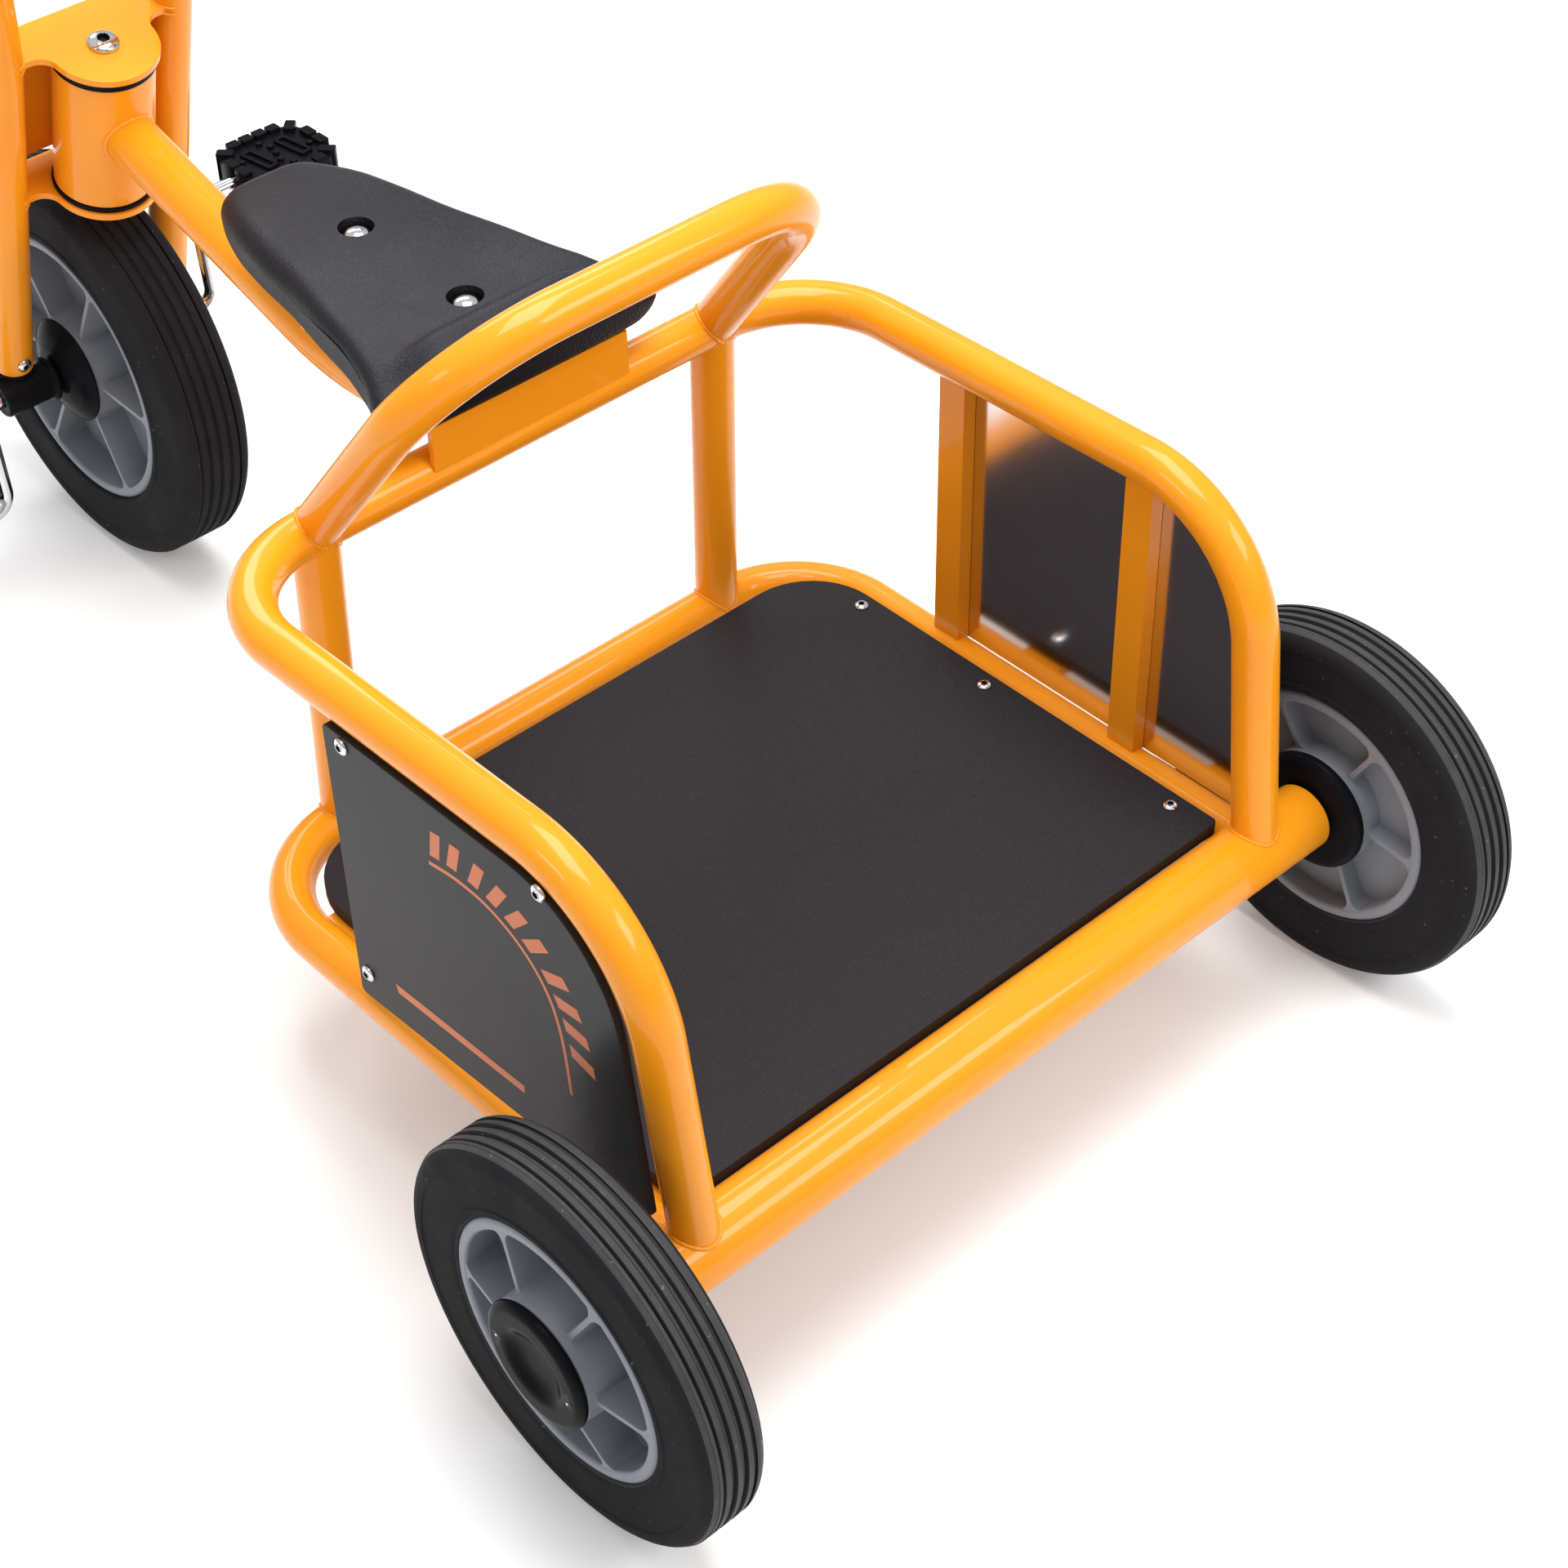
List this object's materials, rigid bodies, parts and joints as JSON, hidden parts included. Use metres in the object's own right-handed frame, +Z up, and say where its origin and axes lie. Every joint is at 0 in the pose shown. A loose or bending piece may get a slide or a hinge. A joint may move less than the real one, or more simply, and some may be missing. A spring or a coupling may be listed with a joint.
{
  "type": "child tricycle with cargo deck",
  "caption": "child's pedal tricycle: steered front wheel with pedals, saddle, and a flat railed cargo deck with side panels over the rear axle",
  "frame": {"origin": "on the ground, on the middle plane, half way between the front of the front tyre and the back of the rear tyres", "axes": "+Z up, +X to the rider's left, +Y to the rear; the rider faces -Y"},
  "size_m": [0.67, 1.1722, 0.5821],
  "materials": {
    "painted_steel": "glossy golden orange powder coat",
    "chrome": "polished plating",
    "tyre": "satin black solid rubber",
    "grip_rubber": "satin black",
    "black_plastic": "satin black moulding",
    "grey_plastic": "satin blue grey moulding",
    "black_board": "plywood with a fine textured black film",
    "saddle_skin": "soft black moulding with a fine leather grain"
  },
  "bodies": {
    "frame": {"rear_axle_tube": "painted_steel", "lower_rail": "painted_steel", "upper_rail": "painted_steel", "front_post_left": "painted_steel", "front_post_right": "painted_steel", "backrest_hoop": "painted_steel", "panel_bar_left_front": "painted_steel", "panel_bar_left_rear": "painted_steel", "panel_bar_right_front": "painted_steel", "panel_bar_right_rear": "painted_steel", "side_panel_left": "black_board", "side_panel_right": "black_board", "deck_board": "black_board", "deck_bearer_front": "painted_steel", "deck_bearer_middle": "painted_steel", "deck_bearer_rear": "painted_steel", "seat_bracket": "painted_steel", "main_tube": "painted_steel", "head_tube": "painted_steel", "head_bush_upper": "black_plastic", "head_bush_lower": "black_plastic", "saddle": "saddle_skin", "saddle_bolt_front": "chrome", "saddle_bolt_rear": "chrome", "rear_axle_shaft": "chrome", "axle_plug_left": "black_plastic", "axle_plug_right": "black_plastic", "axle_nut_left": "chrome", "axle_nut_right": "chrome"},
    "fork": {"fork_tube_left": "painted_steel", "fork_tube_right": "painted_steel", "yoke_plate_upper": "painted_steel", "yoke_plate_lower": "painted_steel", "yoke_web": "painted_steel", "steering_bolt": "chrome", "steering_nut": "chrome", "handlebar_brace": "painted_steel", "grip_left": "grip_rubber", "grip_right": "grip_rubber", "axle_housing_left": "black_plastic", "axle_housing_right": "black_plastic", "fork_screw_left": "chrome", "fork_screw_right": "chrome"},
    "front_wheel": {"front_tyre": "tyre", "front_wheel_centre": "grey_plastic", "front_hub_cup_left": "black_plastic", "front_hub_cup_right": "black_plastic", "crank": "chrome"},
    "left_pedal": {"pedal_left": "black_plastic"},
    "right_pedal": {"pedal_right": "black_plastic"},
    "rear_wheel_left": {"rear_tyre_left": "tyre", "rear_wheel_centre_left": "grey_plastic", "rear_wheel_bush_left": "black_plastic", "rear_hub_cap_left": "black_plastic", "rear_hub_cover_left": "black_plastic"},
    "rear_wheel_right": {"rear_tyre_right": "tyre", "rear_wheel_centre_right": "grey_plastic", "rear_wheel_bush_right": "black_plastic", "rear_hub_cap_right": "black_plastic", "rear_hub_cover_right": "black_plastic"}
  },
  "joints": [
    {"name": "steering", "type": "hinge", "parent": "frame", "child": "fork", "pos_m": [0, -0.36727, 0.37], "axis": [0, 0.2773, 0.9608], "range_deg": [-60, 60]},
    {"name": "front_axle", "type": "hinge", "parent": "fork", "child": "front_wheel", "pos_m": [0, -0.43737, 0.14878], "axis": [1, 0, 0], "continuous": true},
    {"name": "left_pedal_turn", "type": "hinge", "parent": "front_wheel", "child": "left_pedal", "pos_m": [0.1745, -0.43042, 0.06607], "axis": [1, 0, 0], "continuous": true},
    {"name": "right_pedal_turn", "type": "hinge", "parent": "front_wheel", "child": "right_pedal", "pos_m": [-0.1745, -0.44431, 0.23149], "axis": [1, 0, 0], "continuous": true},
    {"name": "rear_axle_left", "type": "hinge", "parent": "frame", "child": "rear_wheel_left", "pos_m": [0.301, 0.46473, 0.12141], "axis": [1, 0, 0], "continuous": true},
    {"name": "rear_axle_right", "type": "hinge", "parent": "frame", "child": "rear_wheel_right", "pos_m": [-0.301, 0.46473, 0.12141], "axis": [1, 0, 0], "continuous": true}
  ]
}
